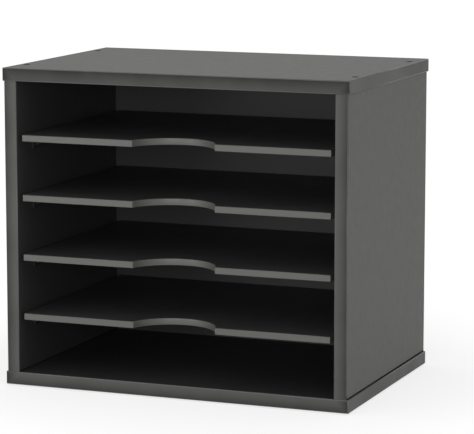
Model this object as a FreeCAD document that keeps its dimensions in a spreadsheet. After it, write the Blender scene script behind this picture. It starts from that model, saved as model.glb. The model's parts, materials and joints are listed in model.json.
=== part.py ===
import FreeCAD, Part
import Sketcher
import os

# Desktop file organizer: a screwed box of four boards with a thin back panel in grooves, and four
# thin shelves that rest on plug-in pins and make five equal slots. All sizes are in millimetres.
# Frame: +X to the right, the open front towards -Y, +Z up, origin on the table under the middle.

os.makedirs("parts", exist_ok=True)
doc = FreeCAD.newDocument("desktop_file_organizer")

# Driving dimensions: each one can be changed by itself
driving_sizes = [
    ("overall_width", 346.1, "across the top and bottom panels"),
    ("overall_depth", 235.0, "front face to rear edge"),
    ("overall_height", 304.8, "table to top face"),
    ("board_thickness", 12.5, "top, bottom and side panels"),
    ("side_overhang", 1.8, "top and bottom panels past each side panel"),
    ("band_thickness", 1.0, "edge bands on the board edges that show"),
    ("arris_radius", 0.8, "rounding of the bands' outer edges"),
    ("back_thickness", 3.0, "back panel"),
    ("back_inset", 4.0, "back panel in from the rear edges"),
    ("groove_depth", 5.0, "grooves that hold the back panel"),
    ("groove_gap", 0.1, "play on each face of the back panel in its groove"),
    ("groove_end_gap", 0.5, "play between the back panel's edge and the groove's floor"),
    ("shelf_count", 4, "shelves, one slot more than this"),
    ("shelf_thickness", 6.35, "shelves"),
    ("shelf_setback", 2.6, "shelf front edge behind the front face"),
    ("shelf_end_gap", 4.6, "shelf end to side panel"),
    ("shelf_back_gap", 1.0, "shelf rear edge to back panel"),
    ("cutout_width", 83.0, "finger cut-out along the front edge"),
    ("cutout_depth", 31.5, "finger cut-out from the front edge"),
    ("pin_diameter", 5.0, "shank of a shelf pin"),
    ("pin_length", 8.0, "shank of a shelf pin"),
    ("pin_inset", 35.0, "pin in from the shelf's front and rear edges"),
    ("pin_reach", 13.0, "tongue of a shelf pin out from the side panel"),
    ("tongue_width", 9.0, "tongue of a shelf pin"),
    ("tongue_thickness", 1.8, "tongue of a shelf pin"),
    ("plate_height", 10.0, "plate of a shelf pin against the side panel, from the shelf's underside"),
    ("plate_thickness", 1.6, "plate of a shelf pin"),
    ("rib_thickness", 1.6, "rib under the tongue of a shelf pin"),
    ("screw_inset", 37.0, "screw in from the front face and from the rear edge"),
    ("screw_diameter", 3.5, "screw shank"),
    ("screw_length", 34.0, "screw under the head"),
    ("screw_head_diameter", 6.6, "screw head"),
    ("screw_head_height", 1.8, "screw head"),
    ("screw_head_recess", 1.6, "screw head below the panel's face"),
    ("screw_socket_width", 2.5, "hexagon socket in the screw head, across flats"),
    ("screw_socket_depth", 1.3, "hexagon socket in the screw head"),
    ("foot_width", 14.0, "foot pad, square"),
    ("foot_thickness", 1.0, "foot pad"),
    ("foot_inset", 16.0, "centre of the foot pad in from the panel's edges"),
    ("fit_gap", 0.05, "play all round a pin or screw in its hole"),
    ("hole_end_gap", 0.5, "room past the end of a pin or screw"),
]
sheet = doc.addObject("Spreadsheet::Sheet", "Sizes")
for row, (alias, size, meaning) in enumerate(driving_sizes, start=1):
    sheet.set(f"A{row}", meaning)
    sheet.set(f"B{row}", str(size))
    sheet.setAlias(f"B{row}", alias)
doc.recompute()

# Sizes and places that follow from the driving dimensions
layout = doc.addObject("App::VarSet", "Layout")


def derive(name, expression):
    layout.addProperty("App::PropertyFloat", name, "Layout", "")
    layout.setExpression(name, expression)
    doc.recompute()


derive("half_width", "Sizes.overall_width / 2")
derive("half_depth", "Sizes.overall_depth / 2")
derive("inner_half_width", "Layout.half_width - Sizes.side_overhang - Sizes.board_thickness")
derive("inside_bottom", "Sizes.foot_thickness + Sizes.board_thickness")
derive("inside_top", "Sizes.overall_height - Sizes.board_thickness")
derive("inside_height", "Layout.inside_top - Layout.inside_bottom")
derive("band_face", "Sizes.band_thickness - Layout.half_depth")
derive("back_face", "Layout.half_depth - Sizes.back_inset - Sizes.back_thickness")
derive("groove_front", "Layout.back_face - Sizes.groove_gap")
derive("groove_rear", "Layout.back_face + Sizes.back_thickness + Sizes.groove_gap")
derive("back_reach", "Sizes.groove_depth - Sizes.groove_end_gap")
derive("slots_total", "Layout.inside_height - Sizes.shelf_count * Sizes.shelf_thickness")
derive("slot_height", "Layout.slots_total / (Sizes.shelf_count + 1)")
derive("shelf_pitch", "Layout.slot_height + Sizes.shelf_thickness")
derive("shelf_half_width", "Layout.inner_half_width - Sizes.shelf_end_gap")
derive("shelf_front", "Sizes.shelf_setback - Layout.half_depth")
derive("shelf_rear", "Layout.back_face - Sizes.shelf_back_gap")
derive("shelf_depth", "Layout.shelf_rear - Layout.shelf_front")
derive("cutout_half_width", "Sizes.cutout_width / 2")
derive("cutout_radius",
       "(Layout.cutout_half_width ^ 2 + Sizes.cutout_depth ^ 2) / (2 * Sizes.cutout_depth)")
derive("pin_radius", "Sizes.pin_diameter / 2")
derive("pin_front", "Layout.shelf_front + Sizes.pin_inset")
derive("pin_rear", "Layout.shelf_rear - Sizes.pin_inset")
derive("lowest_pin", "Layout.slot_height - Layout.pin_radius")
derive("screw_across", "Layout.inner_half_width + Sizes.board_thickness / 2")
derive("screw_along", "Layout.half_depth - Sizes.screw_inset")
derive("head_bore_depth", "Sizes.screw_head_recess + Sizes.screw_head_height")
derive("screw_in_side", "Layout.head_bore_depth + Sizes.screw_length - Sizes.board_thickness")
derive("foot_across", "Layout.half_width - Sizes.foot_inset")
derive("foot_along", "Layout.half_depth - Sizes.foot_inset")

X_AXIS = FreeCAD.Vector(1, 0, 0)
Y_AXIS = FreeCAD.Vector(0, 1, 0)
Z_AXIS = FreeCAD.Vector(0, 0, 1)


def value(expression):
    return float(layout.evalExpression(expression))


# Helpers for bodies, sketches and features

def new_body(label):
    body = doc.addObject("PartDesign::Body", label)
    body.Label = label
    return body


def origin_feature(body, role):
    return [feature for feature in body.Origin.OriginFeatures if feature.Role == role][0]


def new_sketch(body, plane, name, offset=None):
    sketch = body.newObject("Sketcher::SketchObject", name)
    sketch.AttachmentSupport = (origin_feature(body, plane), [""])
    sketch.MapMode = "FlatFace"
    if offset:
        sketch.setExpression("AttachmentOffset.Base.z", offset)
    return sketch


def bind(sketch, kind, references, expression):
    index = sketch.addConstraint(Sketcher.Constraint(kind, *references, value(expression)))
    sketch.setExpression(f"Constraints[{index}]", expression)


def place_point(sketch, element, point, across, along):
    bind(sketch, "DistanceX", (element, point), across)
    bind(sketch, "DistanceY", (element, point), along)


def polygon(sketch, corners):
    points = [FreeCAD.Vector(value(across), value(along), 0) for across, along in corners]
    first = sketch.GeometryCount
    for start, end in zip(points, points[1:] + points[:1]):
        sketch.addGeometry(Part.LineSegment(start, end), False)
    for number, (across, along) in enumerate(corners):
        before = first + (number - 1) % len(corners)
        sketch.addConstraint(Sketcher.Constraint("Coincident", before, 2, first + number, 1))
        place_point(sketch, first + number, 1, across, along)


def rectangle(sketch, left, right, low, high):
    polygon(sketch, [(left, low), (right, low), (right, high), (left, high)])


def circles(sketch, centres, diameter):
    for across, along in centres:
        centre = FreeCAD.Vector(value(across), value(along), 0)
        number = sketch.addGeometry(Part.Circle(centre, Z_AXIS, value(diameter) / 2), False)
        place_point(sketch, number, 3, across, along)
        bind(sketch, "Diameter", (number,), diameter)


def four_corners(across, along):
    return [(f"{sign_x} * {across}", f"{sign_y} * {along}") for sign_x in (-1, 1) for sign_y in (-1, 1)]


def pad(body, sketch, name, length, reverse=False, symmetric=False):
    feature = body.newObject("PartDesign::Pad", name)
    feature.Profile = sketch
    feature.setExpression("Length", length)
    feature.Reversed = reverse
    feature.SideType = "Symmetric" if symmetric else "One side"
    return feature


def pocket(body, sketch, name, depth, reverse=False):
    feature = body.newObject("PartDesign::Pocket", name)
    feature.Profile = sketch
    feature.setExpression("Length", depth)
    feature.Reversed = reverse
    return feature


def revolve(body, sketch, name, axis):
    feature = body.newObject("PartDesign::Revolution", name)
    feature.Profile = sketch
    feature.ReferenceAxis = (sketch, [axis])
    feature.Angle = 360
    return feature


def edge_names(feature, test):
    return [f"Edge{number}" for number, edge in enumerate(feature.Shape.Edges, start=1) if test(edge)]


def fillet(body, base, name, radius, test):
    doc.recompute()
    feature = body.newObject("PartDesign::Fillet", name)
    feature.Base = (base, edge_names(base, test))
    feature.setExpression("Radius", radius)
    return feature


def repeat(body, original, name, axis, spacing, count="2"):
    doc.recompute()
    feature = body.newObject("PartDesign::LinearPattern", name)
    if original:
        feature.Originals = [original]
    else:
        feature.TransformMode = "Whole shape"
    feature.Direction = (origin_feature(body, axis), [""])
    feature.Mode = "Spacing"
    feature.setExpression("Offset", spacing)
    feature.setExpression("Occurrences", count)
    body.Tip = feature
    return feature


def mirror_left_to_right(body, name):
    doc.recompute()
    feature = body.newObject("PartDesign::Mirrored", name)
    feature.TransformMode = "Whole shape"
    feature.MirrorPlane = (origin_feature(body, "YZ_Plane"), [""])
    body.Tip = feature


def repeat_in_rectangle(body, across, along):
    repeat(body, None, "pair_across", "X_Axis", across)
    repeat(body, None, "four", "Y_Axis", along)


def place(body, across="0", along="0", up="0", axis=Z_AXIS, turn=0):
    body.Placement = FreeCAD.Placement(FreeCAD.Vector(0, 0, 0), FreeCAD.Rotation(axis, turn))
    body.setExpression("Placement.Base.x", across)
    body.setExpression("Placement.Base.y", along)
    body.setExpression("Placement.Base.z", up)


def is_upright(edge):
    start, end = edge.Vertexes[0].Point, edge.Vertexes[-1].Point
    return abs(start.z - end.z) > 1e-6 and abs(start.x - end.x) < 1e-6 and abs(start.y - end.y) < 1e-6


# Top and bottom panels: one board used twice, the bottom one turned over. Local z = 0 is its inner face

def carcass_panel(label):
    body = new_body(label)
    board = new_sketch(body, "XY_Plane", "board_outline")
    edge = "(Layout.half_width - Sizes.band_thickness)"
    rectangle(board, f"-{edge}", edge, "Layout.band_face", "Layout.half_depth")
    pad(body, board, "board", "Sizes.board_thickness")

    groove = new_sketch(body, "XY_Plane", "groove_outline")
    groove_end = "(Layout.inner_half_width + Sizes.groove_depth)"
    rectangle(groove, f"-{groove_end}", groove_end, "Layout.groove_front", "Layout.groove_rear")
    pocket(body, groove, "back_groove", "Sizes.groove_depth", reverse=True)

    screws = new_sketch(body, "XY_Plane", "screw_centres", offset="Sizes.board_thickness")
    circles(screws, four_corners("Layout.screw_across", "Layout.screw_along"), "Sizes.screw_diameter")
    doc.recompute()
    holes = body.newObject("PartDesign::Hole", "screw_holes")
    holes.Profile = screws
    holes.ThreadType = "None"
    holes.HoleCutType = "Counterbore"
    holes.DepthType = "ThroughAll"
    holes.DrillPoint = "Flat"
    holes.setExpression("Diameter", "Sizes.screw_diameter + 2 * Sizes.fit_gap")
    holes.setExpression("HoleCutDiameter", "Sizes.screw_head_diameter + 4 * Sizes.fit_gap")
    holes.setExpression("HoleCutDepth", "Layout.head_bore_depth")
    return body


top_panel = carcass_panel("top_panel")
place(top_panel, up="Layout.inside_top")
bottom_panel = carcass_panel("bottom_panel")
place(bottom_panel, up="Layout.inside_bottom", axis=Y_AXIS, turn=180)


# Side panels: mirror images. Local x = 0 is the inner face, outward is +1 on the right and -1 on the left

def side_panel(label, outward):
    body = new_body(label)
    on_right = outward > 0
    board = new_sketch(body, "YZ_Plane", "board_outline")
    rectangle(board, "Layout.band_face", "Layout.half_depth", "0", "Layout.inside_height")
    pad(body, board, "board", "Sizes.board_thickness", reverse=not on_right)

    groove = new_sketch(body, "YZ_Plane", "groove_outline")
    rectangle(groove, "Layout.groove_front", "Layout.groove_rear", "0", "Layout.inside_height")
    pocket(body, groove, "back_groove", "Sizes.groove_depth", reverse=on_right)

    pins = new_sketch(body, "YZ_Plane", "lowest_pin_centres")
    circles(pins, [("Layout.pin_front", "Layout.lowest_pin"), ("Layout.pin_rear", "Layout.lowest_pin")],
            "Sizes.pin_diameter + 2 * Sizes.fit_gap")
    pair = pocket(body, pins, "lowest_pin_holes", "Sizes.pin_length + Sizes.hole_end_gap", reverse=on_right)
    repeat(body, pair, "pin_holes", "Z_Axis", "Layout.shelf_pitch", "Sizes.shelf_count")

    for end, height, upwards in (("lower", "0", True), ("upper", "Layout.inside_height", False)):
        middle = f"{outward} * Sizes.board_thickness / 2"
        screws = new_sketch(body, "XY_Plane", f"{end}_screw_centres", offset=height)
        circles(screws, [(middle, "Layout.screw_along"), (middle, "-Layout.screw_along")],
                "Sizes.screw_diameter + 2 * Sizes.fit_gap")
        pocket(body, screws, f"{end}_screw_holes", "Layout.screw_in_side + Sizes.hole_end_gap", upwards)
    return body


for side_name, outward in (("left", -1), ("right", 1)):
    panel = side_panel(f"{side_name}_side_panel", outward)
    place(panel, across=f"{outward} * Layout.inner_half_width", up="Layout.inside_bottom")


# Back panel: a thin board whose four edges stand in the grooves

back_panel = new_body("back_panel")
back_outline = new_sketch(back_panel, "XZ_Plane", "board_outline")
back_edge = "(Layout.inner_half_width + Layout.back_reach)"
rectangle(back_outline, f"-{back_edge}", back_edge, "-Layout.back_reach",
          "Layout.inside_height + Layout.back_reach")
pad(back_panel, back_outline, "board", "Sizes.back_thickness", reverse=True)
place(back_panel, along="Layout.back_face", up="Layout.inside_bottom")


# Edge bands. Local y = 0 is the outer face, the board lies towards +y, and the band runs along x

def edge_band(label, half_length, round_ends=False):
    body = new_body(label)
    strip = new_sketch(body, "XZ_Plane", "strip_outline")
    rectangle(strip, f"-{half_length}", half_length, "0", "Sizes.board_thickness")
    blank = pad(body, strip, "strip", "Sizes.band_thickness", reverse=True)

    def on_outer_face(edge):
        outer = all(abs(vertex.Point.y) < 1e-6 for vertex in edge.Vertexes)
        return outer and (round_ends or not is_upright(edge))

    fillet(body, blank, "rounded_arrises", "Sizes.arris_radius", on_outer_face)
    return body


side_band_half_length = "((Sizes.overall_depth - Sizes.band_thickness) / 2)"
for panel_name, band_height in (("top", "Layout.inside_top"), ("bottom", "Sizes.foot_thickness")):
    front_band = edge_band(f"{panel_name}_front_band", "Layout.half_width", round_ends=True)
    place(front_band, along="-Layout.half_depth", up=band_height)
    for side_name, outward in (("left", -1), ("right", 1)):
        side_band = edge_band(f"{panel_name}_{side_name}_band", side_band_half_length)
        place(side_band, across=f"{outward} * Layout.half_width", along="Sizes.band_thickness / 2",
              up=band_height, turn=90 * outward)

for side_name, band_side in (("left", "-Layout.inner_half_width"),
                             ("right", "Layout.inner_half_width + Sizes.board_thickness")):
    upright_band = edge_band(f"{side_name}_side_front_band", "Layout.inside_height / 2")
    place(upright_band, across=band_side, along="-Layout.half_depth",
          up="Layout.inside_bottom + Layout.inside_height / 2", axis=Y_AXIS, turn=-90)


# Shelves. Local y = 0 is the front edge, z = 0 the underside

def shelf_outline(sketch):
    edge = "Layout.shelf_half_width"
    cut = "Layout.cutout_half_width"
    stations = [(cut, "0"), (edge, "0"), (edge, "Layout.shelf_depth"), (f"-{edge}", "Layout.shelf_depth"),
                (f"-{edge}", "0"), (f"-{cut}", "0")]
    points = [FreeCAD.Vector(value(across), value(along), 0) for across, along in stations]
    for start, end in zip(points, points[1:]):
        sketch.addGeometry(Part.LineSegment(start, end), False)
    deepest = FreeCAD.Vector(0, value("Sizes.cutout_depth"), 0)
    finger_arc = sketch.addGeometry(Part.Arc(points[0], deepest, points[-1]), False)
    for number in range(1, finger_arc):
        sketch.addConstraint(Sketcher.Constraint("Coincident", number - 1, 2, number, 1))
    sketch.addConstraint(Sketcher.Constraint("Coincident", finger_arc, 1, 0, 1))
    sketch.addConstraint(Sketcher.Constraint("Coincident", finger_arc, 2, finger_arc - 1, 2))
    for number, (across, along) in enumerate(stations[:-1]):
        place_point(sketch, number, 1, across, along)
    place_point(sketch, finger_arc, 2, *stations[-1])
    bind(sketch, "Radius", (finger_arc,), "Layout.cutout_radius")


def shelf(label):
    body = new_body(label)
    outline = new_sketch(body, "XY_Plane", "shelf_outline")
    shelf_outline(outline)
    pad(body, outline, "board", "Sizes.shelf_thickness")
    return body


# Shelf pins: four to a shelf. Each is a shank in the side panel, a plate against its face and a tongue
# on a rib; the shelf lies on the tongue, level with the top of the shank. Local origin: midway between
# the two front pins, on their centre line

def shelf_pins(label):
    body = new_body(label)
    wall = "-Layout.inner_half_width"
    plate_face = f"{wall} + Sizes.plate_thickness"
    plate_foot = "Layout.pin_radius - Sizes.plate_height"
    shank = new_sketch(body, "YZ_Plane", "shank_outline", offset=wall)
    circles(shank, [("0", "0")], "Sizes.pin_diameter")
    pad(body, shank, "shank", "Sizes.pin_length", reverse=True)
    plate = new_sketch(body, "YZ_Plane", "plate_outline", offset=wall)
    rectangle(plate, "-Sizes.tongue_width / 2", "Sizes.tongue_width / 2", plate_foot, "Layout.pin_radius")
    pad(body, plate, "plate", "Sizes.plate_thickness")

    tongue_underside = "Layout.pin_radius - Sizes.tongue_thickness"
    root = f"{wall} + Sizes.plate_thickness / 2"
    tip = f"{wall} + Sizes.pin_reach"
    tongue = new_sketch(body, "XY_Plane", "tongue_outline", offset=tongue_underside)
    rectangle(tongue, root, tip, "-Sizes.tongue_width / 2", "Sizes.tongue_width / 2")
    pad(body, tongue, "tongue", "Sizes.tongue_thickness")

    rib_foot = f"{plate_foot} + Sizes.rib_thickness"
    rib = new_sketch(body, "XZ_Plane", "rib_outline")
    rib_end = f"{tip} - Sizes.tongue_thickness"
    polygon(rib, [(root, tongue_underside), (root, rib_foot), (plate_face, rib_foot),
                  (rib_end, tongue_underside)])
    pad(body, rib, "rib", "Sizes.rib_thickness", symmetric=True)

    repeat(body, None, "left_pair", "Y_Axis", "Layout.pin_rear - Layout.pin_front")
    mirror_left_to_right(body, "right_pair")
    return body


for number in range(1, int(value("Sizes.shelf_count")) + 1):
    underside = f"(Layout.inside_top - {number} * Layout.shelf_pitch)"
    place(shelf(f"shelf_{number}"), along="Layout.shelf_front", up=underside)
    place(shelf_pins(f"shelf_{number}_pins"), along="Layout.pin_front",
          up=f"{underside} - Layout.pin_radius")


# Screws. Local origin at the middle of the head's top face, pointing down -z

def screw_set(label):
    body = new_body(label)
    head = "Sizes.screw_head_diameter / 2"
    shank = "Sizes.screw_diameter / 2"
    seat = "-Sizes.screw_head_height"
    tip = f"{seat} - Sizes.screw_length"
    turned = new_sketch(body, "XZ_Plane", "turned_outline")
    polygon(turned, [("0", "0"), (head, "0"), (head, seat), (shank, seat), (shank, tip), ("0", tip)])
    blank = revolve(body, turned, "head_and_shank", "V_Axis")
    socket = new_sketch(body, "XY_Plane", "socket_outline")
    flats = "Sizes.screw_socket_width / 2"
    point = f"{flats} / cos(30)"
    polygon(socket, [(point, "0"), (f"{point} / 2", flats), (f"-{point} / 2", flats),
                     (f"-{point}", "0"), (f"-{point} / 2", f"-{flats}"), (f"{point} / 2", f"-{flats}")])
    pocket(body, socket, "socket", "Sizes.screw_socket_depth")
    repeat_in_rectangle(body, "2 * Layout.screw_across", "2 * Layout.screw_along")
    return body


top_screws = screw_set("top_screws")
place(top_screws, across="-Layout.screw_across", along="-Layout.screw_along",
      up="Sizes.overall_height - Sizes.screw_head_recess")
bottom_screws = screw_set("bottom_screws")
place(bottom_screws, across="-Layout.screw_across", along="Layout.screw_along",
      up="Sizes.foot_thickness + Sizes.screw_head_recess", axis=X_AXIS, turn=180)


# Foot pads under the bottom panel

def foot_pad(label):
    body = new_body(label)
    outline = new_sketch(body, "XY_Plane", "pad_outline")
    half_width = "Sizes.foot_width / 2"
    rectangle(outline, f"-{half_width}", half_width, f"-{half_width}", half_width)
    pad(body, outline, "pad", "Sizes.foot_thickness")
    return body


for row_name, along in (("front", -1), ("rear", 1)):
    for side_name, outward in (("left", -1), ("right", 1)):
        foot = foot_pad(f"foot_{row_name}_{side_name}")
        place(foot, across=f"{outward} * Layout.foot_across", along=f"{along} * Layout.foot_along")


# Checks before anything is written

doc.recompute()
for item in doc.Objects:
    if "Invalid" in item.State or "Error" in item.State:
        raise RuntimeError(f"{item.Label} failed: {item.State}")
cutting_features = [f"PartDesign::{kind}" for kind in ("Pocket", "Hole", "Fillet")]
smallest_cut = 1e-3
for item in doc.Objects:
    if item.TypeId in cutting_features:
        if item.Shape.Volume > item.BaseFeature.Shape.Volume - smallest_cut:
            raise RuntimeError(f"{item.Label} cut nothing")
bodies = [item for item in doc.Objects if item.TypeId == "PartDesign::Body"]
for body in bodies:
    if body.Shape.isNull() or not body.Shape.isValid():
        raise RuntimeError(f"{body.Label} has no valid shape")
    body.Shape.exportStep(f"parts/{body.Label}.step")
    print(f"{body.Label}: {len(body.Shape.Solids)} solid, {body.Shape.Volume / 1000:.2f} cm3")
whole = Part.makeCompound([body.Shape for body in bodies]).BoundBox
print(f"whole: {whole.XLength:.2f} x {whole.YLength:.2f} x {whole.ZLength:.2f} mm, {len(bodies)} pieces")
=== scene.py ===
import json
import math

import bmesh
import bpy
from mathutils import Euler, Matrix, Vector

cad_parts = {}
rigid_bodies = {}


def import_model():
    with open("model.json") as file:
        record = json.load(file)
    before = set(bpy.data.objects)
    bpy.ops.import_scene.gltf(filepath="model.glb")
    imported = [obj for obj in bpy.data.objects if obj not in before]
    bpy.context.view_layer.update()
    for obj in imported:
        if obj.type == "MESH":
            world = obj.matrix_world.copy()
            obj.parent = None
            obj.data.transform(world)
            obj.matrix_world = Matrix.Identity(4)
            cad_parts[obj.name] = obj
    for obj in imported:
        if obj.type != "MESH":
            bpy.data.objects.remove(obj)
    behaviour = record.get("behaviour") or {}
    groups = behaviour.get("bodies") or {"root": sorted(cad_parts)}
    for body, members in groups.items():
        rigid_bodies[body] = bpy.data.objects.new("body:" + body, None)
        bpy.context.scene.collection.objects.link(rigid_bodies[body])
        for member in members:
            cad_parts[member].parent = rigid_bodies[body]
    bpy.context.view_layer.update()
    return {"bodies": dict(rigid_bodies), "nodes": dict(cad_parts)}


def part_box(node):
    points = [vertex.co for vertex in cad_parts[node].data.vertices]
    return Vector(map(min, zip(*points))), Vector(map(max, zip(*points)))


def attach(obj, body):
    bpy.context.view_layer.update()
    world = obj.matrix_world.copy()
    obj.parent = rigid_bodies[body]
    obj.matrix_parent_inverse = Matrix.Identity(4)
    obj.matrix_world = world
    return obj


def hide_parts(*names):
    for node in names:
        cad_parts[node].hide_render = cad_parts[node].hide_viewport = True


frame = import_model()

# Desktop file organizer: charcoal boards, near-black inner faces and back, four loose thin shelves.
# Metres, +X to the right, the open front towards -Y, +Z up.

millimetre = 0.001
nearly = 0.1 * millimetre            # two places closer than this count as one
leastTilt = 0.001                    # a normal's share along an axis, up to this, counts as none
print("frame loaded:", len(frame["nodes"]), "nodes")


# Shared helpers

def srgb(hexColour):
    channels = [int(hexColour[start:start + 2], 16) / 255 for start in (1, 3, 5)]
    linear = [channel / 12.92 if channel <= 0.04045 else ((channel + 0.055) / 1.055) ** 2.4
              for channel in channels]
    return (*linear, 1.0)


def perMetre(sizeInMillimetres):
    return 1000 / sizeInMillimetres      # a pattern's scale, for blotches of about this size


# Where nearly all values of a noise texture lie, and where most of them do
noiseSpan = (0.3, 0.7)
noiseCore = (0.35, 0.65)


def newMaterial(name):
    material = bpy.data.materials.new(name)
    material.use_nodes = True
    material.node_tree.nodes.clear()
    return material


def addNode(owner, kind, inputs=(), **settings):
    # Inputs go by socket name, or in the order of the sockets in use. Each is a plain value, a node,
    # which gives its first output in use, or one named output
    tree = owner.node_tree
    node = tree.nodes.new(f"ShaderNode{kind}")
    for name, setting in settings.items():
        setattr(node, name, setting)
    if isinstance(inputs, dict):
        pairs = [(node.inputs[name], given) for name, given in inputs.items()]
    else:
        pairs = zip([socket for socket in node.inputs if socket.enabled], inputs)
    for socket, given in pairs:
        if isinstance(given, bpy.types.Node):
            given = next(output for output in given.outputs if output.enabled)
        if isinstance(given, bpy.types.NodeSocket):
            tree.links.new(given, socket)
        else:
            socket.default_value = given
    return node


# Sizes that follow from the frame

sideLow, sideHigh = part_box("right_side_panel")
boardThickness = sideHigh.x - sideLow.x
insideBottom, insideTop = sideLow.z, sideHigh.z
openingMiddle = {"X": 0.0, "Z": (insideBottom + insideTop) / 2}
innerHalf = {"X": sideLow.x, "Z": (insideTop - insideBottom) / 2}
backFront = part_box("back_panel")[0].y
edgeSkin = 0.05 * millimetre         # how far past a face a point may lie and still be on it


def fromMiddle(material, axes, name):
    # How far a point lies from the middle of the open front, along one axis
    offset = addNode(material, "Math", [axes[name], openingMiddle[name]], operation="SUBTRACT")
    return addNode(material, "Math", [offset], operation="ABSOLUTE")


# Melamine-faced board, pressed satin: the outside is charcoal with a fine pebble grain and a faint
# cloudiness. The inner faces are pressed with a darker sheet; on the side panels it is a shade paler,
# which is painted light. Where the bottom board stands out past the sides, its ledge is painted near
# black, and the core's dark chips are painted 1 mm up the foot of each side panel: both are painted
# shade in that joint. The rear edges have no band, so they and the bored holes show the stained chips
# of the core, which hardly shine, and along each cut the facing has broken away a hair's breadth. The
# real grain is about 0.3 mm wide, and is drawn coarser so that it shows

boardLook = {
    "outside": "#484846", "outsideDeep": "#454543", "cloudSize": 70.0,
    "inside": {"X": ("#343436", "#38383a"), "Z": ("#262628", "#2a2a2c")}, "ledgePaintedShade": "#0d0d0e",
    "grainSize": 0.9, "grainDepth": 0.022,
    "rubSize": 9.0, "satin": (0.52, 0.56), "sheen": 0.5,
    "chip": "#26231f", "chipDeep": "#0e0d0d", "chipSize": 2.4, "chipSpan": (0.1, 0.7),
    "chipDepth": 0.15, "chipRoughness": 0.85, "chipSheen": 0.1,
    "breakSize": 3.0, "breakSpan": (0.4, 0.7), "breakWidth": 0.35, "footPaintedShade": {"X": 1.0, "Z": 0.0},
}


def makeBoardMaterial(name, thicknessAxis, lengthAxis, board):
    look = boardLook
    low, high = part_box(board)
    innerFace = innerHalf[thicknessAxis]
    outerFace = innerFace + boardThickness
    start, finish = (corner["XYZ".index(lengthAxis)] for corner in (low, high))
    material = newMaterial(name)
    place = addNode(material, "TexCoord").outputs["Object"]
    axes = addNode(material, "SeparateXYZ", {"Vector": place}).outputs
    across = fromMiddle(material, axes, "X")
    above = fromMiddle(material, axes, "Z")
    outward = across if thicknessAxis == "X" else above

    # Facing sheets, outer and inner
    cloud = addNode(material, "TexNoise", {
        "Vector": place, "Scale": perMetre(look["cloudSize"]), "Detail": 4.0})
    outside = addNode(material, "Mix", [
        cloud, srgb(look["outsideDeep"]), srgb(look["outside"])], data_type="RGBA")
    # Painted light: the side panels' inner tones are a shade paler than the flat boards' inner tones
    insideDeep, insidePale = look["inside"][thicknessAxis]
    inside = addNode(material, "Mix", [cloud, srgb(insideDeep), srgb(insidePale)], data_type="RGBA")
    # Painted shade: the ledge past the side panels is near black, darker than the inner sheet that
    # shows there
    isLedge = addNode(material, "Math", [
        across, innerHalf["X"] + boardThickness - edgeSkin], operation="GREATER_THAN")
    inner = addNode(material, "Mix", [isLedge, inside, srgb(look["ledgePaintedShade"])], data_type="RGBA")
    pastInner = addNode(material, "Math", [outward, innerFace + edgeSkin], operation="GREATER_THAN")
    faced = addNode(material, "Mix", [pastInner, inner, outside], data_type="RGBA")

    # Core, on all that lies between the two sheets and where a sheet has broken away along a cut
    chips = addNode(material, "TexVoronoi", {
        "Vector": place, "Scale": perMetre(look["chipSize"])}, feature="SMOOTH_F1")
    chipShade = addNode(material, "MapRange", [chips, *look["chipSpan"], 0.0, 1.0])
    core = addNode(material, "Mix", [chipShade, srgb(look["chip"]), srgb(look["chipDeep"])],
                   data_type="RGBA")
    beforeOuter = addNode(material, "Math", [outward, outerFace - edgeSkin], operation="LESS_THAN")
    isCut = addNode(material, "Math", [pastInner, beforeOuter], operation="MULTIPLY")
    # Painted shade: on the side panels the core's dark chips reach 1 mm up from the foot, as shade in
    # the joint with the bottom board
    toStart = addNode(material, "Math", [
        axes[lengthAxis], start + look["footPaintedShade"][thicknessAxis] * millimetre], operation="SUBTRACT")
    toFinish = addNode(material, "Math", [finish, axes[lengthAxis]], operation="SUBTRACT")
    toEnd = addNode(material, "Math", [toStart, toFinish], operation="MINIMUM")
    toRear = addNode(material, "Math", [high.y, axes["Y"]], operation="SUBTRACT")
    toFront = addNode(material, "Math", [axes["Y"], low.y], operation="SUBTRACT")
    toFrontOrRear = addNode(material, "Math", [toRear, toFront], operation="MINIMUM")
    toEdge = addNode(material, "Math", [toFrontOrRear, toEnd], operation="MINIMUM")
    broken = addNode(material, "TexNoise", {
        "Vector": place, "Scale": perMetre(look["breakSize"]), "Detail": 5.0})
    breakReach = addNode(material, "MapRange", [
        broken, *look["breakSpan"], 0.0, look["breakWidth"] * millimetre])
    isBroken = addNode(material, "Math", [toEdge, breakReach], operation="LESS_THAN")
    isCore = addNode(material, "Math", [isCut, isBroken], operation="MAXIMUM")
    colour = addNode(material, "Mix", [isCore, faced, core], data_type="RGBA")

    # Gloss and relief
    rubbed = addNode(material, "TexNoise", {
        "Vector": place, "Scale": perMetre(look["rubSize"]), "Detail": 3.0})
    satin = addNode(material, "MapRange", [rubbed, *noiseCore, *look["satin"]])
    roughness = addNode(material, "Mix", [isCore, satin, look["chipRoughness"]])
    grain = addNode(material, "TexNoise", {
        "Vector": place, "Scale": perMetre(look["grainSize"]), "Detail": 3.0})
    fineRelief = addNode(material, "Math", [grain, look["grainDepth"]], operation="MULTIPLY")
    chipRelief = addNode(material, "Math", [chipShade, -look["chipDepth"]], operation="MULTIPLY")
    relief = addNode(material, "Mix", [isCore, fineRelief, chipRelief])
    bump = addNode(material, "Bump", {"Height": relief, "Distance": millimetre})
    sheen = addNode(material, "Mix", [isCore, look["sheen"], look["chipSheen"]])
    shader = addNode(material, "BsdfPrincipled", {
        "Base Color": colour, "Roughness": roughness, "Specular IOR Level": sheen, "Normal": bump})
    addNode(material, "OutputMaterial", {"Surface": shader})
    return material


# ABS edge band, extruded and buffed: the same charcoal with a soft sheen and hardly any grain. On
# the front it is duller. Its tones are painted light and shade: on the front, lighter along the opening
# and darker towards the outside, with painted sheen in that gradient; darker copies on the top board's
# front as painted shade, and tones of their own on the end bands, lowered as painted shade

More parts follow.
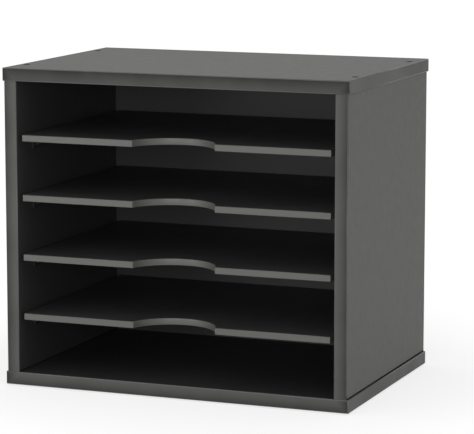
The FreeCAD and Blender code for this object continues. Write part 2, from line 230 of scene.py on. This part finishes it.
bandLook = {
    "front": {"lightAndShadeAtOpening": "#535351", "lightAndShadeOutside": "#1a1a19", "sheen": 0.36},
    "top": {"lightAndShadeAtOpening": "#474745", "lightAndShadeOutside": "#151514", "sheen": 0.26},
    "end": {"lightAndShadeAtOpening": "#2f2f2d", "lightAndShadeOutside": "#343432", "sheen": 0.5},
    "cloudSize": 40.0, "drift": 0.08, "falloff": 1.5,
    "grainSize": 0.9, "grainDepth": 0.006, "roughness": (0.48, 0.56),
    "arrisPaintedHighlight": "#5c5c5a", "arrisPaintedHighlightDeep": "#4c4c4a", "arrisRoughness": (0.30, 0.42),
    "scrapeSize": 6.0, "scrapeDepth": 0.004, "arrisRadius": 0.8, "arrisSteps": 4,
}


def makeBandMaterial(name, where):
    look = bandLook
    shades = look[where]
    material = newMaterial(name)
    place = addNode(material, "TexCoord").outputs["Object"]
    axes = addNode(material, "SeparateXYZ", {"Vector": place}).outputs
    pastBoth = [addNode(material, "Math", [fromMiddle(material, axes, axis), innerHalf[axis]],
                        operation="SUBTRACT") for axis in ("X", "Z")]
    past = addNode(material, "Math", pastBoth, operation="MAXIMUM")
    span = addNode(material, "MapRange", [past, 0.0, boardThickness, 0.0, 1.0])
    outward = addNode(material, "Math", [span, look["falloff"]], operation="POWER")
    cloud = addNode(material, "TexNoise", {
        "Vector": place, "Scale": perMetre(look["cloudSize"]), "Detail": 3.0})
    drift = addNode(material, "MapRange", [cloud, *noiseSpan, -look["drift"], look["drift"]])
    # Painted light and shade: the colour runs from the lit tone along the opening to the shaded tone
    # outside
    tone = addNode(material, "Math", [outward, drift], operation="ADD")
    colour = addNode(material, "Mix", [tone, srgb(shades["lightAndShadeAtOpening"]), srgb(shades["lightAndShadeOutside"])],
                     data_type="RGBA")
    roughness = addNode(material, "MapRange", [cloud, *noiseCore, *look["roughness"]])
    grain = addNode(material, "TexNoise", {
        "Vector": place, "Scale": perMetre(look["grainSize"]), "Detail": 3.0})
    bump = addNode(material, "Bump", {"Height": grain, "Distance": look["grainDepth"] * millimetre})
    shader = addNode(material, "BsdfPrincipled", {
        "Base Color": colour, "Roughness": roughness, "Specular IOR Level": shades["sheen"],
        "Normal": bump})
    addNode(material, "OutputMaterial", {"Surface": shader})
    return material


def makeArrisMaterial():
    # The rounded arris is scraped and polished, so it catches the light as a thin line. Its colour is
    # lighter than the band's as a painted highlight, and the scraped mottling in it is wear
    look = bandLook
    material = newMaterial("absBandScrapedArrisPaintedHighlight")
    place = addNode(material, "TexCoord").outputs["Object"]
    scrape = addNode(material, "TexNoise", {
        "Vector": place, "Scale": perMetre(look["scrapeSize"]), "Detail": 4.0})
    # Painted highlight: the arris colour is lighter than the band's own
    colour = addNode(material, "Mix", [scrape, srgb(look["arrisPaintedHighlightDeep"]), srgb(look["arrisPaintedHighlight"])],
                     data_type="RGBA")
    roughness = addNode(material, "MapRange", [scrape, *noiseSpan, *look["arrisRoughness"]])
    bump = addNode(material, "Bump", {"Height": scrape, "Distance": look["scrapeDepth"] * millimetre})
    shader = addNode(material, "BsdfPrincipled", {
        "Base Color": colour, "Roughness": roughness, "Normal": bump})
    addNode(material, "OutputMaterial", {"Surface": shader})
    return material


# Shelf board, faced fibreboard: black satin faces, and edges sprayed with charcoal lacquer, which
# sinks into the cut fibres and dries a little uneven

shelfLook = {
    "face": "#373739", "faceDeep": "#323234", "cloudSize": 55.0, "faceRoughness": (0.46, 0.58),
    "grainSize": 1.0, "grainDepth": 0.008,
    "edge": "#60605c", "edgeDeep": "#555552", "edgeRoughness": (0.38, 0.52),
    "fibreSize": 2.2, "fibreDepth": 0.02,
    "cutoutWidth": 83.0, "cutoutDepth": 31.5, "cutoutSteps": 64, "edgeRadius": 0.5, "edgeSteps": 3,
}


def makeShelfFaceMaterial():
    look = shelfLook
    material = newMaterial("fibreboardFacedBlackSatin")
    place = addNode(material, "TexCoord").outputs["Object"]
    cloud = addNode(material, "TexNoise", {
        "Vector": place, "Scale": perMetre(look["cloudSize"]), "Detail": 4.0})
    colour = addNode(material, "Mix", [cloud, srgb(look["faceDeep"]), srgb(look["face"])],
                     data_type="RGBA")
    roughness = addNode(material, "MapRange", [cloud, *noiseSpan, *look["faceRoughness"]])
    grain = addNode(material, "TexNoise", {
        "Vector": place, "Scale": perMetre(look["grainSize"]), "Detail": 3.0})
    bump = addNode(material, "Bump", {"Height": grain, "Distance": look["grainDepth"] * millimetre})
    shader = addNode(material, "BsdfPrincipled", {
        "Base Color": colour, "Roughness": roughness, "Normal": bump})
    addNode(material, "OutputMaterial", {"Surface": shader})
    return material


def makeShelfEdgeMaterial():
    look = shelfLook
    material = newMaterial("fibreboardEdgeSprayedLacquer")
    place = addNode(material, "TexCoord").outputs["Object"]
    fibre = addNode(material, "TexNoise", {
        "Vector": place, "Scale": perMetre(look["fibreSize"]), "Detail": 5.0})
    colour = addNode(material, "Mix", [fibre, srgb(look["edgeDeep"]), srgb(look["edge"])],
                     data_type="RGBA")
    roughness = addNode(material, "MapRange", [fibre, *noiseSpan, *look["edgeRoughness"]])
    bump = addNode(material, "Bump", {"Height": fibre, "Distance": look["fibreDepth"] * millimetre})
    shader = addNode(material, "BsdfPrincipled", {
        "Base Color": colour, "Roughness": roughness, "Normal": bump})
    addNode(material, "OutputMaterial", {"Surface": shader})
    return material


# Hardboard back, lacquered on the face: smooth, with a slight leathery undulation. Its rear is bare
# and keeps the fine weave of the pressing screen

backLook = {
    "tone": "#2c2c2f", "toneDeep": "#28292a", "rear": "#343335", "rearDeep": "#2c2b2d",
    "cloudSize": 90.0, "satin": (0.56, 0.60), "rearRoughness": 0.75,
    "waveSize": 14.0, "waveDepth": 0.03, "screenPitch": 1.6, "screenDepth": 0.05,
}


def makeBackMaterial():
    look = backLook
    material = newMaterial("hardboardLacquered")
    place = addNode(material, "TexCoord").outputs["Object"]
    axes = addNode(material, "SeparateXYZ", {"Vector": place}).outputs
    isRear = addNode(material, "Math", [axes["Y"], backFront + edgeSkin], operation="GREATER_THAN")
    cloud = addNode(material, "TexNoise", {
        "Vector": place, "Scale": perMetre(look["cloudSize"]), "Detail": 3.0})
    face = addNode(material, "Mix", [cloud, srgb(look["toneDeep"]), srgb(look["tone"])],
                   data_type="RGBA")
    rear = addNode(material, "Mix", [cloud, srgb(look["rearDeep"]), srgb(look["rear"])],
                   data_type="RGBA")
    colour = addNode(material, "Mix", [isRear, face, rear], data_type="RGBA")

    wave = addNode(material, "TexNoise", {
        "Vector": place, "Scale": perMetre(look["waveSize"]), "Detail": 2.0})
    satin = addNode(material, "MapRange", [wave, *noiseSpan, *look["satin"]])
    roughness = addNode(material, "Mix", [isRear, satin, look["rearRoughness"]])
    threads = []
    for name in ("X", "Z"):
        turns = addNode(material, "Math", [axes[name], 2 * math.pi * perMetre(look["screenPitch"])],
                        operation="MULTIPLY")
        threads.append(addNode(material, "Math", [turns], operation="SINE"))
    weave = addNode(material, "Math", threads, operation="MULTIPLY")
    faceRelief = addNode(material, "Math", [wave, look["waveDepth"]], operation="MULTIPLY")
    rearRelief = addNode(material, "Math", [weave, look["screenDepth"]], operation="MULTIPLY")
    relief = addNode(material, "Mix", [isRear, faceRelief, rearRelief])
    bump = addNode(material, "Bump", {"Height": relief, "Distance": millimetre})
    shader = addNode(material, "BsdfPrincipled", {
        "Base Color": colour, "Roughness": roughness, "Normal": bump})
    addNode(material, "OutputMaterial", {"Surface": shader})
    return material


# Shelf pins, moulded nylon: black, with the soft grain of a spark-eroded mould

pinLook = {
    "tone": "#19191a", "toneDeep": "#0e0e0f", "roughness": (0.45, 0.60),
    "grainSize": 0.4, "grainDepth": 0.01,
}


def makePinMaterial():
    look = pinLook
    material = newMaterial("nylonMoulded")
    place = addNode(material, "TexCoord").outputs["Object"]
    grain = addNode(material, "TexNoise", {
        "Vector": place, "Scale": perMetre(look["grainSize"]), "Detail": 2.0})
    colour = addNode(material, "Mix", [grain, srgb(look["toneDeep"]), srgb(look["tone"])],
                     data_type="RGBA")
    roughness = addNode(material, "MapRange", [grain, *noiseSpan, *look["roughness"]])
    bump = addNode(material, "Bump", {"Height": grain, "Distance": look["grainDepth"] * millimetre})
    shader = addNode(material, "BsdfPrincipled", {
        "Base Color": colour, "Roughness": roughness, "Normal": bump})
    addNode(material, "OutputMaterial", {"Surface": shader})
    return material


# Screws, steel with a black oxide: near black and dull, slightly brighter where it has rubbed

screwLook = {
    "tone": "#131211", "toneDeep": "#070707", "roughness": (0.45, 0.60),
    "rubSize": 1.5, "rubDepth": 0.01,
}


def makeScrewMaterial():
    look = screwLook
    material = newMaterial("steelBlackOxide")
    place = addNode(material, "TexCoord").outputs["Object"]
    rub = addNode(material, "TexNoise", {
        "Vector": place, "Scale": perMetre(look["rubSize"]), "Detail": 4.0})
    colour = addNode(material, "Mix", [rub, srgb(look["toneDeep"]), srgb(look["tone"])],
                     data_type="RGBA")
    roughness = addNode(material, "MapRange", [rub, *noiseSpan, *look["roughness"]])
    bump = addNode(material, "Bump", {"Height": rub, "Distance": look["rubDepth"] * millimetre})
    shader = addNode(material, "BsdfPrincipled", {
        "Base Color": colour, "Metallic": 1.0, "Roughness": roughness, "Normal": bump})
    addNode(material, "OutputMaterial", {"Surface": shader})
    return material


# Foot pads, EVA foam, die-cut: matte black with fine open cells

padLook = {
    "tone": "#1e1e1e", "toneDeep": "#101010", "roughness": (0.80, 0.95),
    "cellSize": 0.7, "cellDepth": 0.05,
}


def makePadMaterial():
    look = padLook
    material = newMaterial("evaFoamDieCut")
    place = addNode(material, "TexCoord").outputs["Object"]
    cells = addNode(material, "TexVoronoi", {"Vector": place, "Scale": perMetre(look["cellSize"])})
    colour = addNode(material, "Mix", [cells, srgb(look["toneDeep"]), srgb(look["tone"])],
                     data_type="RGBA")
    roughness = addNode(material, "MapRange", [cells, 0.0, 1.0, *look["roughness"]])
    bump = addNode(material, "Bump", {"Height": cells, "Distance": look["cellDepth"] * millimetre})
    shader = addNode(material, "BsdfPrincipled", {
        "Base Color": colour, "Roughness": roughness, "Normal": bump})
    addNode(material, "OutputMaterial", {"Surface": shader})
    return material


sideBoardMaterial = makeBoardMaterial("melamineBoardSidePressedSatin", "X", "Z", "right_side_panel")
flatBoardMaterial = makeBoardMaterial("melamineBoardFlatPressedSatin", "Z", "X", "top_panel")
bandMaterials = {where: makeBandMaterial(f"absBandBuffedLightAndShade{where.capitalize()}", where)
                 for where in ("front", "top", "end")}
arrisHighlightMaterial = makeArrisMaterial()
shelfFaceMaterial = makeShelfFaceMaterial()
shelfEdgeMaterial = makeShelfEdgeMaterial()
backMaterial = makeBackMaterial()
pinMaterial = makePinMaterial()
screwMaterial = makeScrewMaterial()
padMaterial = makePadMaterial()
print("materials made")


# CAD nodes that keep their shape and get a finish

def dress(nodeName, material):
    node = frame["nodes"][nodeName]
    if not node.material_slots:
        node.data.materials.append(material)
    for materialSlot in node.material_slots:
        materialSlot.material = material


for boardName in ("top_panel", "bottom_panel"):
    dress(boardName, flatBoardMaterial)
for boardName in ("left_side_panel", "right_side_panel"):
    dress(boardName, sideBoardMaterial)
dress("back_panel", backMaterial)
shelfNames = sorted(name for name in frame["bodies"] if name.startswith("shelf_"))
for shelfName in shelfNames:
    dress(f"{shelfName}_pins", pinMaterial)
for screwName in ("top_screws", "bottom_screws"):
    dress(screwName, screwMaterial)
for padName in (name for name in frame["nodes"] if name.startswith("foot_")):
    dress(padName, padMaterial)
print("boards, back, pins, screws and pads dressed")


# New pieces

def finishPiece(form, name, body, nodeName, materials):
    mesh = bpy.data.meshes.new(name)
    form.to_mesh(mesh)
    form.free()
    for material in materials:
        mesh.materials.append(material)
    piece = bpy.data.objects.new(name, mesh)
    bpy.context.scene.collection.objects.link(piece)
    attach(piece, body)
    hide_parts(nodeName)


# Edge bands: each strip's outer face has rounded arrises, and the front ones of the top and bottom
# boards are rounded round their ends too

bands = {
    "top_front_band": {"outer": Vector((0, -1, 0)), "roundEnds": True, "where": "top"},
    "bottom_front_band": {"outer": Vector((0, -1, 0)), "roundEnds": True, "where": "front"},
    "left_side_front_band": {"outer": Vector((0, -1, 0)), "roundEnds": False, "where": "front"},
    "right_side_front_band": {"outer": Vector((0, -1, 0)), "roundEnds": False, "where": "front"},
    "top_left_band": {"outer": Vector((-1, 0, 0)), "roundEnds": False, "where": "end"},
    "bottom_left_band": {"outer": Vector((-1, 0, 0)), "roundEnds": False, "where": "end"},
    "top_right_band": {"outer": Vector((1, 0, 0)), "roundEnds": False, "where": "end"},
    "bottom_right_band": {"outer": Vector((1, 0, 0)), "roundEnds": False, "where": "end"},
}


def makeBand(nodeName, outer, roundEnds, where):
    low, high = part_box(nodeName)
    size = high - low
    longest = max(range(3), key=lambda axis: size[axis])
    form = bmesh.new()
    bmesh.ops.create_cube(form, size=1.0)
    bmesh.ops.scale(form, vec=size, verts=form.verts)
    bmesh.ops.translate(form, vec=(low + high) / 2, verts=form.verts)
    outerFace = max(form.faces, key=lambda face: face.normal.dot(outer))
    rounded = [edge for edge in outerFace.edges
               if roundEnds or abs((edge.verts[0].co - edge.verts[1].co)[longest]) > size[longest] / 2]
    bevel = bmesh.ops.bevel(form, geom=rounded, offset=bandLook["arrisRadius"] * millimetre,
                            offset_type="OFFSET", affect="EDGES", segments=bandLook["arrisSteps"],
                            profile=0.5, material=-1, clamp_overlap=True)
    for face in bevel["faces"]:
        face.smooth = True
        face.material_index = 1
    pieceName = nodeName.replace("_band", "_edge_strip")
    finishPiece(form, pieceName, "carcass", nodeName,
                [bandMaterials[where], arrisHighlightMaterial])


for nodeName, band in bands.items():
    makeBand(nodeName, **band)
print("edge strips made:", len(bands))


# Shelves: one outline with the finger cut-out as an arc, thickened, with its front edges eased

def makeShelf(shelfName):
    look = shelfLook
    low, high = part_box(shelfName)
    halfCut = look["cutoutWidth"] / 2 * millimetre
    depth = look["cutoutDepth"] * millimetre
    radius = (halfCut ** 2 + depth ** 2) / (2 * depth)
    centre = Vector((0, low.y + depth - radius, low.z))
    halfSweep = math.acos((radius - depth) / radius)
    form = bmesh.new()
    cutStart = form.verts.new((halfCut, low.y, low.z))
    bmesh.ops.spin(form, geom=[cutStart], cent=centre, axis=(0, 0, 1), angle=2 * halfSweep,
                   steps=look["cutoutSteps"], use_duplicate=False)
    form.verts.ensure_lookup_table()
    cutEnd = form.verts[-1]
    corners = [form.verts.new(place) for place in (
        (low.x, low.y, low.z), (low.x, high.y, low.z), (high.x, high.y, low.z), (high.x, low.y, low.z))]
    outline = [cutEnd, *corners, cutStart]
    for first, second in zip(outline, outline[1:]):
        form.edges.new((first, second))
    bmesh.ops.edgeloop_fill(form, edges=form.edges)
    raised = bmesh.ops.extrude_face_region(form, geom=form.faces[:])
    raisedVerts = [item for item in raised["geom"] if isinstance(item, bmesh.types.BMVert)]
    bmesh.ops.translate(form, vec=(0, 0, high.z - low.z), verts=raisedVerts)
    bmesh.ops.recalc_face_normals(form, faces=form.faces)

    def alongFront(edge):
        first, second = (vert.co for vert in edge.verts)
        level = abs(first.z - second.z) < nearly
        across = abs(first.x - second.x) > nearly
        return level and across and max(first.y, second.y) < high.y - depth

    bevel = bmesh.ops.bevel(form, geom=[edge for edge in form.edges if alongFront(edge)],
                            offset=look["edgeRadius"] * millimetre, offset_type="OFFSET",
                            affect="EDGES", segments=look["edgeSteps"], profile=0.5, material=-1,
                            clamp_overlap=True)
    broadFaces = sorted(form.faces, key=lambda face: face.calc_area())[-2:]
    for face in form.faces:
        face.material_index = 0 if face in broadFaces else 1
        onArc = min(abs(face.normal.x), abs(face.normal.y)) > leastTilt
        face.smooth = onArc or face in bevel["faces"]
    finishPiece(form, f"{shelfName}_board", shelfName, shelfName,
                [shelfFaceMaterial, shelfEdgeMaterial])


for shelfName in shelfNames:
    makeShelf(shelfName)
print("shelves made:", len(shelfNames))


# Floor: matte white, with a little light of its own where the camera sees it, straight or by a
# reflection, so that it shows as white and still takes the soft shadow

floorLook = {
    "size": 40.0, "below": 0.2, "colour": "#b4b4b4",
    "glow": 0.70, "farGlow": 0.82, "near": 0.25, "far": 0.60,
}


def makeFloor():
    look = floorLook
    form = bmesh.new()
    bmesh.ops.create_grid(form, x_segments=1, y_segments=1, size=look["size"] / 2)
    bmesh.ops.translate(form, vec=(0, 0, -look["below"] * millimetre), verts=form.verts)
    mesh = bpy.data.meshes.new("floor")
    form.to_mesh(mesh)
    form.free()
    floor = bpy.data.objects.new("floor", mesh)
    bpy.context.scene.collection.objects.link(floor)
    material = newMaterial("paperMatteWhite")
    place = addNode(material, "TexCoord").outputs["Object"]
    diffuse = addNode(material, "BsdfDiffuse", {"Color": srgb(look["colour"])})
    path = addNode(material, "LightPath").outputs
    direct = addNode(material, "Math", [path["Is Camera Ray"], path["Is Glossy Ray"]], operation="ADD")
    seen = addNode(material, "Math", [direct, path["Is Transmission Ray"]], operation="ADD")
    distance = addNode(material, "VectorMath", [place], operation="LENGTH")
    brightness = addNode(material, "MapRange", [
        distance, look["near"], look["far"], look["glow"], look["farGlow"]])
    strength = addNode(material, "Math", [seen, brightness], operation="MULTIPLY")
    glow = addNode(material, "Emission", {"Strength": strength})
    both = addNode(material, "AddShader", [diffuse, glow])
    addNode(material, "OutputMaterial", {"Surface": both})
    mesh.materials.append(material)


# Light: an even white room, and soft panels. The one on the left lets the front fade a little
# towards the right. The room is full white to the camera and a little less in reflections

roomLook = {"colour": "#ffffff", "level": 0.448, "mirrored": 0.8, "seen": 1.0}

lamps = {
    "front": {"place": (-0.1, -0.9, 0.75), "aim": (0, 0, 0.15), "size": (0.5, 0.5), "power": 0.5},
    "low": {"place": (0.55, -2.3, 0.45), "aim": (0, 0, 0.15), "size": (1.5, 0.6), "power": 15.0},
    "left": {"place": (-0.85, -1.2, 0.2), "aim": (-0.1, 0, 0.15), "size": (0.5, 0.4), "power": 3.2},
    "overhead": {"place": (0.0, 0.0, 1.0), "aim": (0, 0, 0.3), "size": (0.45, 0.45), "power": 1.2},
    "right": {"place": (1.3, -0.3, 0.5), "aim": (0.1, 0, 0.15), "size": (0.45, 0.45), "power": 1.1},
}


def makeRoom():
    room = bpy.data.worlds.new("whiteRoom")
    bpy.context.scene.world = room
    room.use_nodes = True
    room.node_tree.nodes.clear()
    path = addNode(room, "LightPath").outputs
    straight = addNode(room, "Math", [path["Is Camera Ray"], path["Is Transmission Ray"]],
                       operation="ADD")
    mirrored = addNode(room, "Mix", [path["Is Glossy Ray"], roomLook["level"], roomLook["mirrored"]])
    strength = addNode(room, "Mix", [straight, mirrored, roomLook["seen"]])
    background = addNode(room, "Background", {"Color": srgb(roomLook["colour"]), "Strength": strength})
    addNode(room, "OutputWorld", {"Surface": background})


def makeLamp(name, place, aim, size, power):
    lamp = bpy.data.lights.new(name, "AREA")
    lamp.shape = "RECTANGLE"
    lamp.size, lamp.size_y = size
    lamp.energy = power
    holder = bpy.data.objects.new(name, lamp)
    bpy.context.scene.collection.objects.link(holder)
    holder.location = place
    holder.rotation_euler = (Vector(aim) - Vector(place)).to_track_quat("-Z", "Y").to_euler()


# Camera: turned and tilted as in the photograph

cameraLook = {
    "aim": (0.0182, 0.0, 0.1565), "distance": 2.421, "turn": 21.49, "tilt": 8.85,
    "lens": 190.6, "reach": 100.0,
}


def makeCamera():
    look = cameraLook
    camera = bpy.data.cameras.new("camera")
    camera.lens = look["lens"]
    camera.clip_end = look["reach"]
    holder = bpy.data.objects.new("camera", camera)
    bpy.context.scene.collection.objects.link(holder)
    holder.rotation_euler = Euler((math.radians(90 - look["tilt"]), 0, math.radians(look["turn"])))
    forward = holder.rotation_euler.to_matrix() @ Vector((0, 0, -1))
    holder.location = Vector(look["aim"]) - forward * look["distance"]
    bpy.context.scene.camera = holder


makeFloor()
makeRoom()
for lampName, lamp in lamps.items():
    makeLamp(lampName, **lamp)
makeCamera()
bpy.context.scene.view_settings.view_transform = "Standard"
print("studio ready")
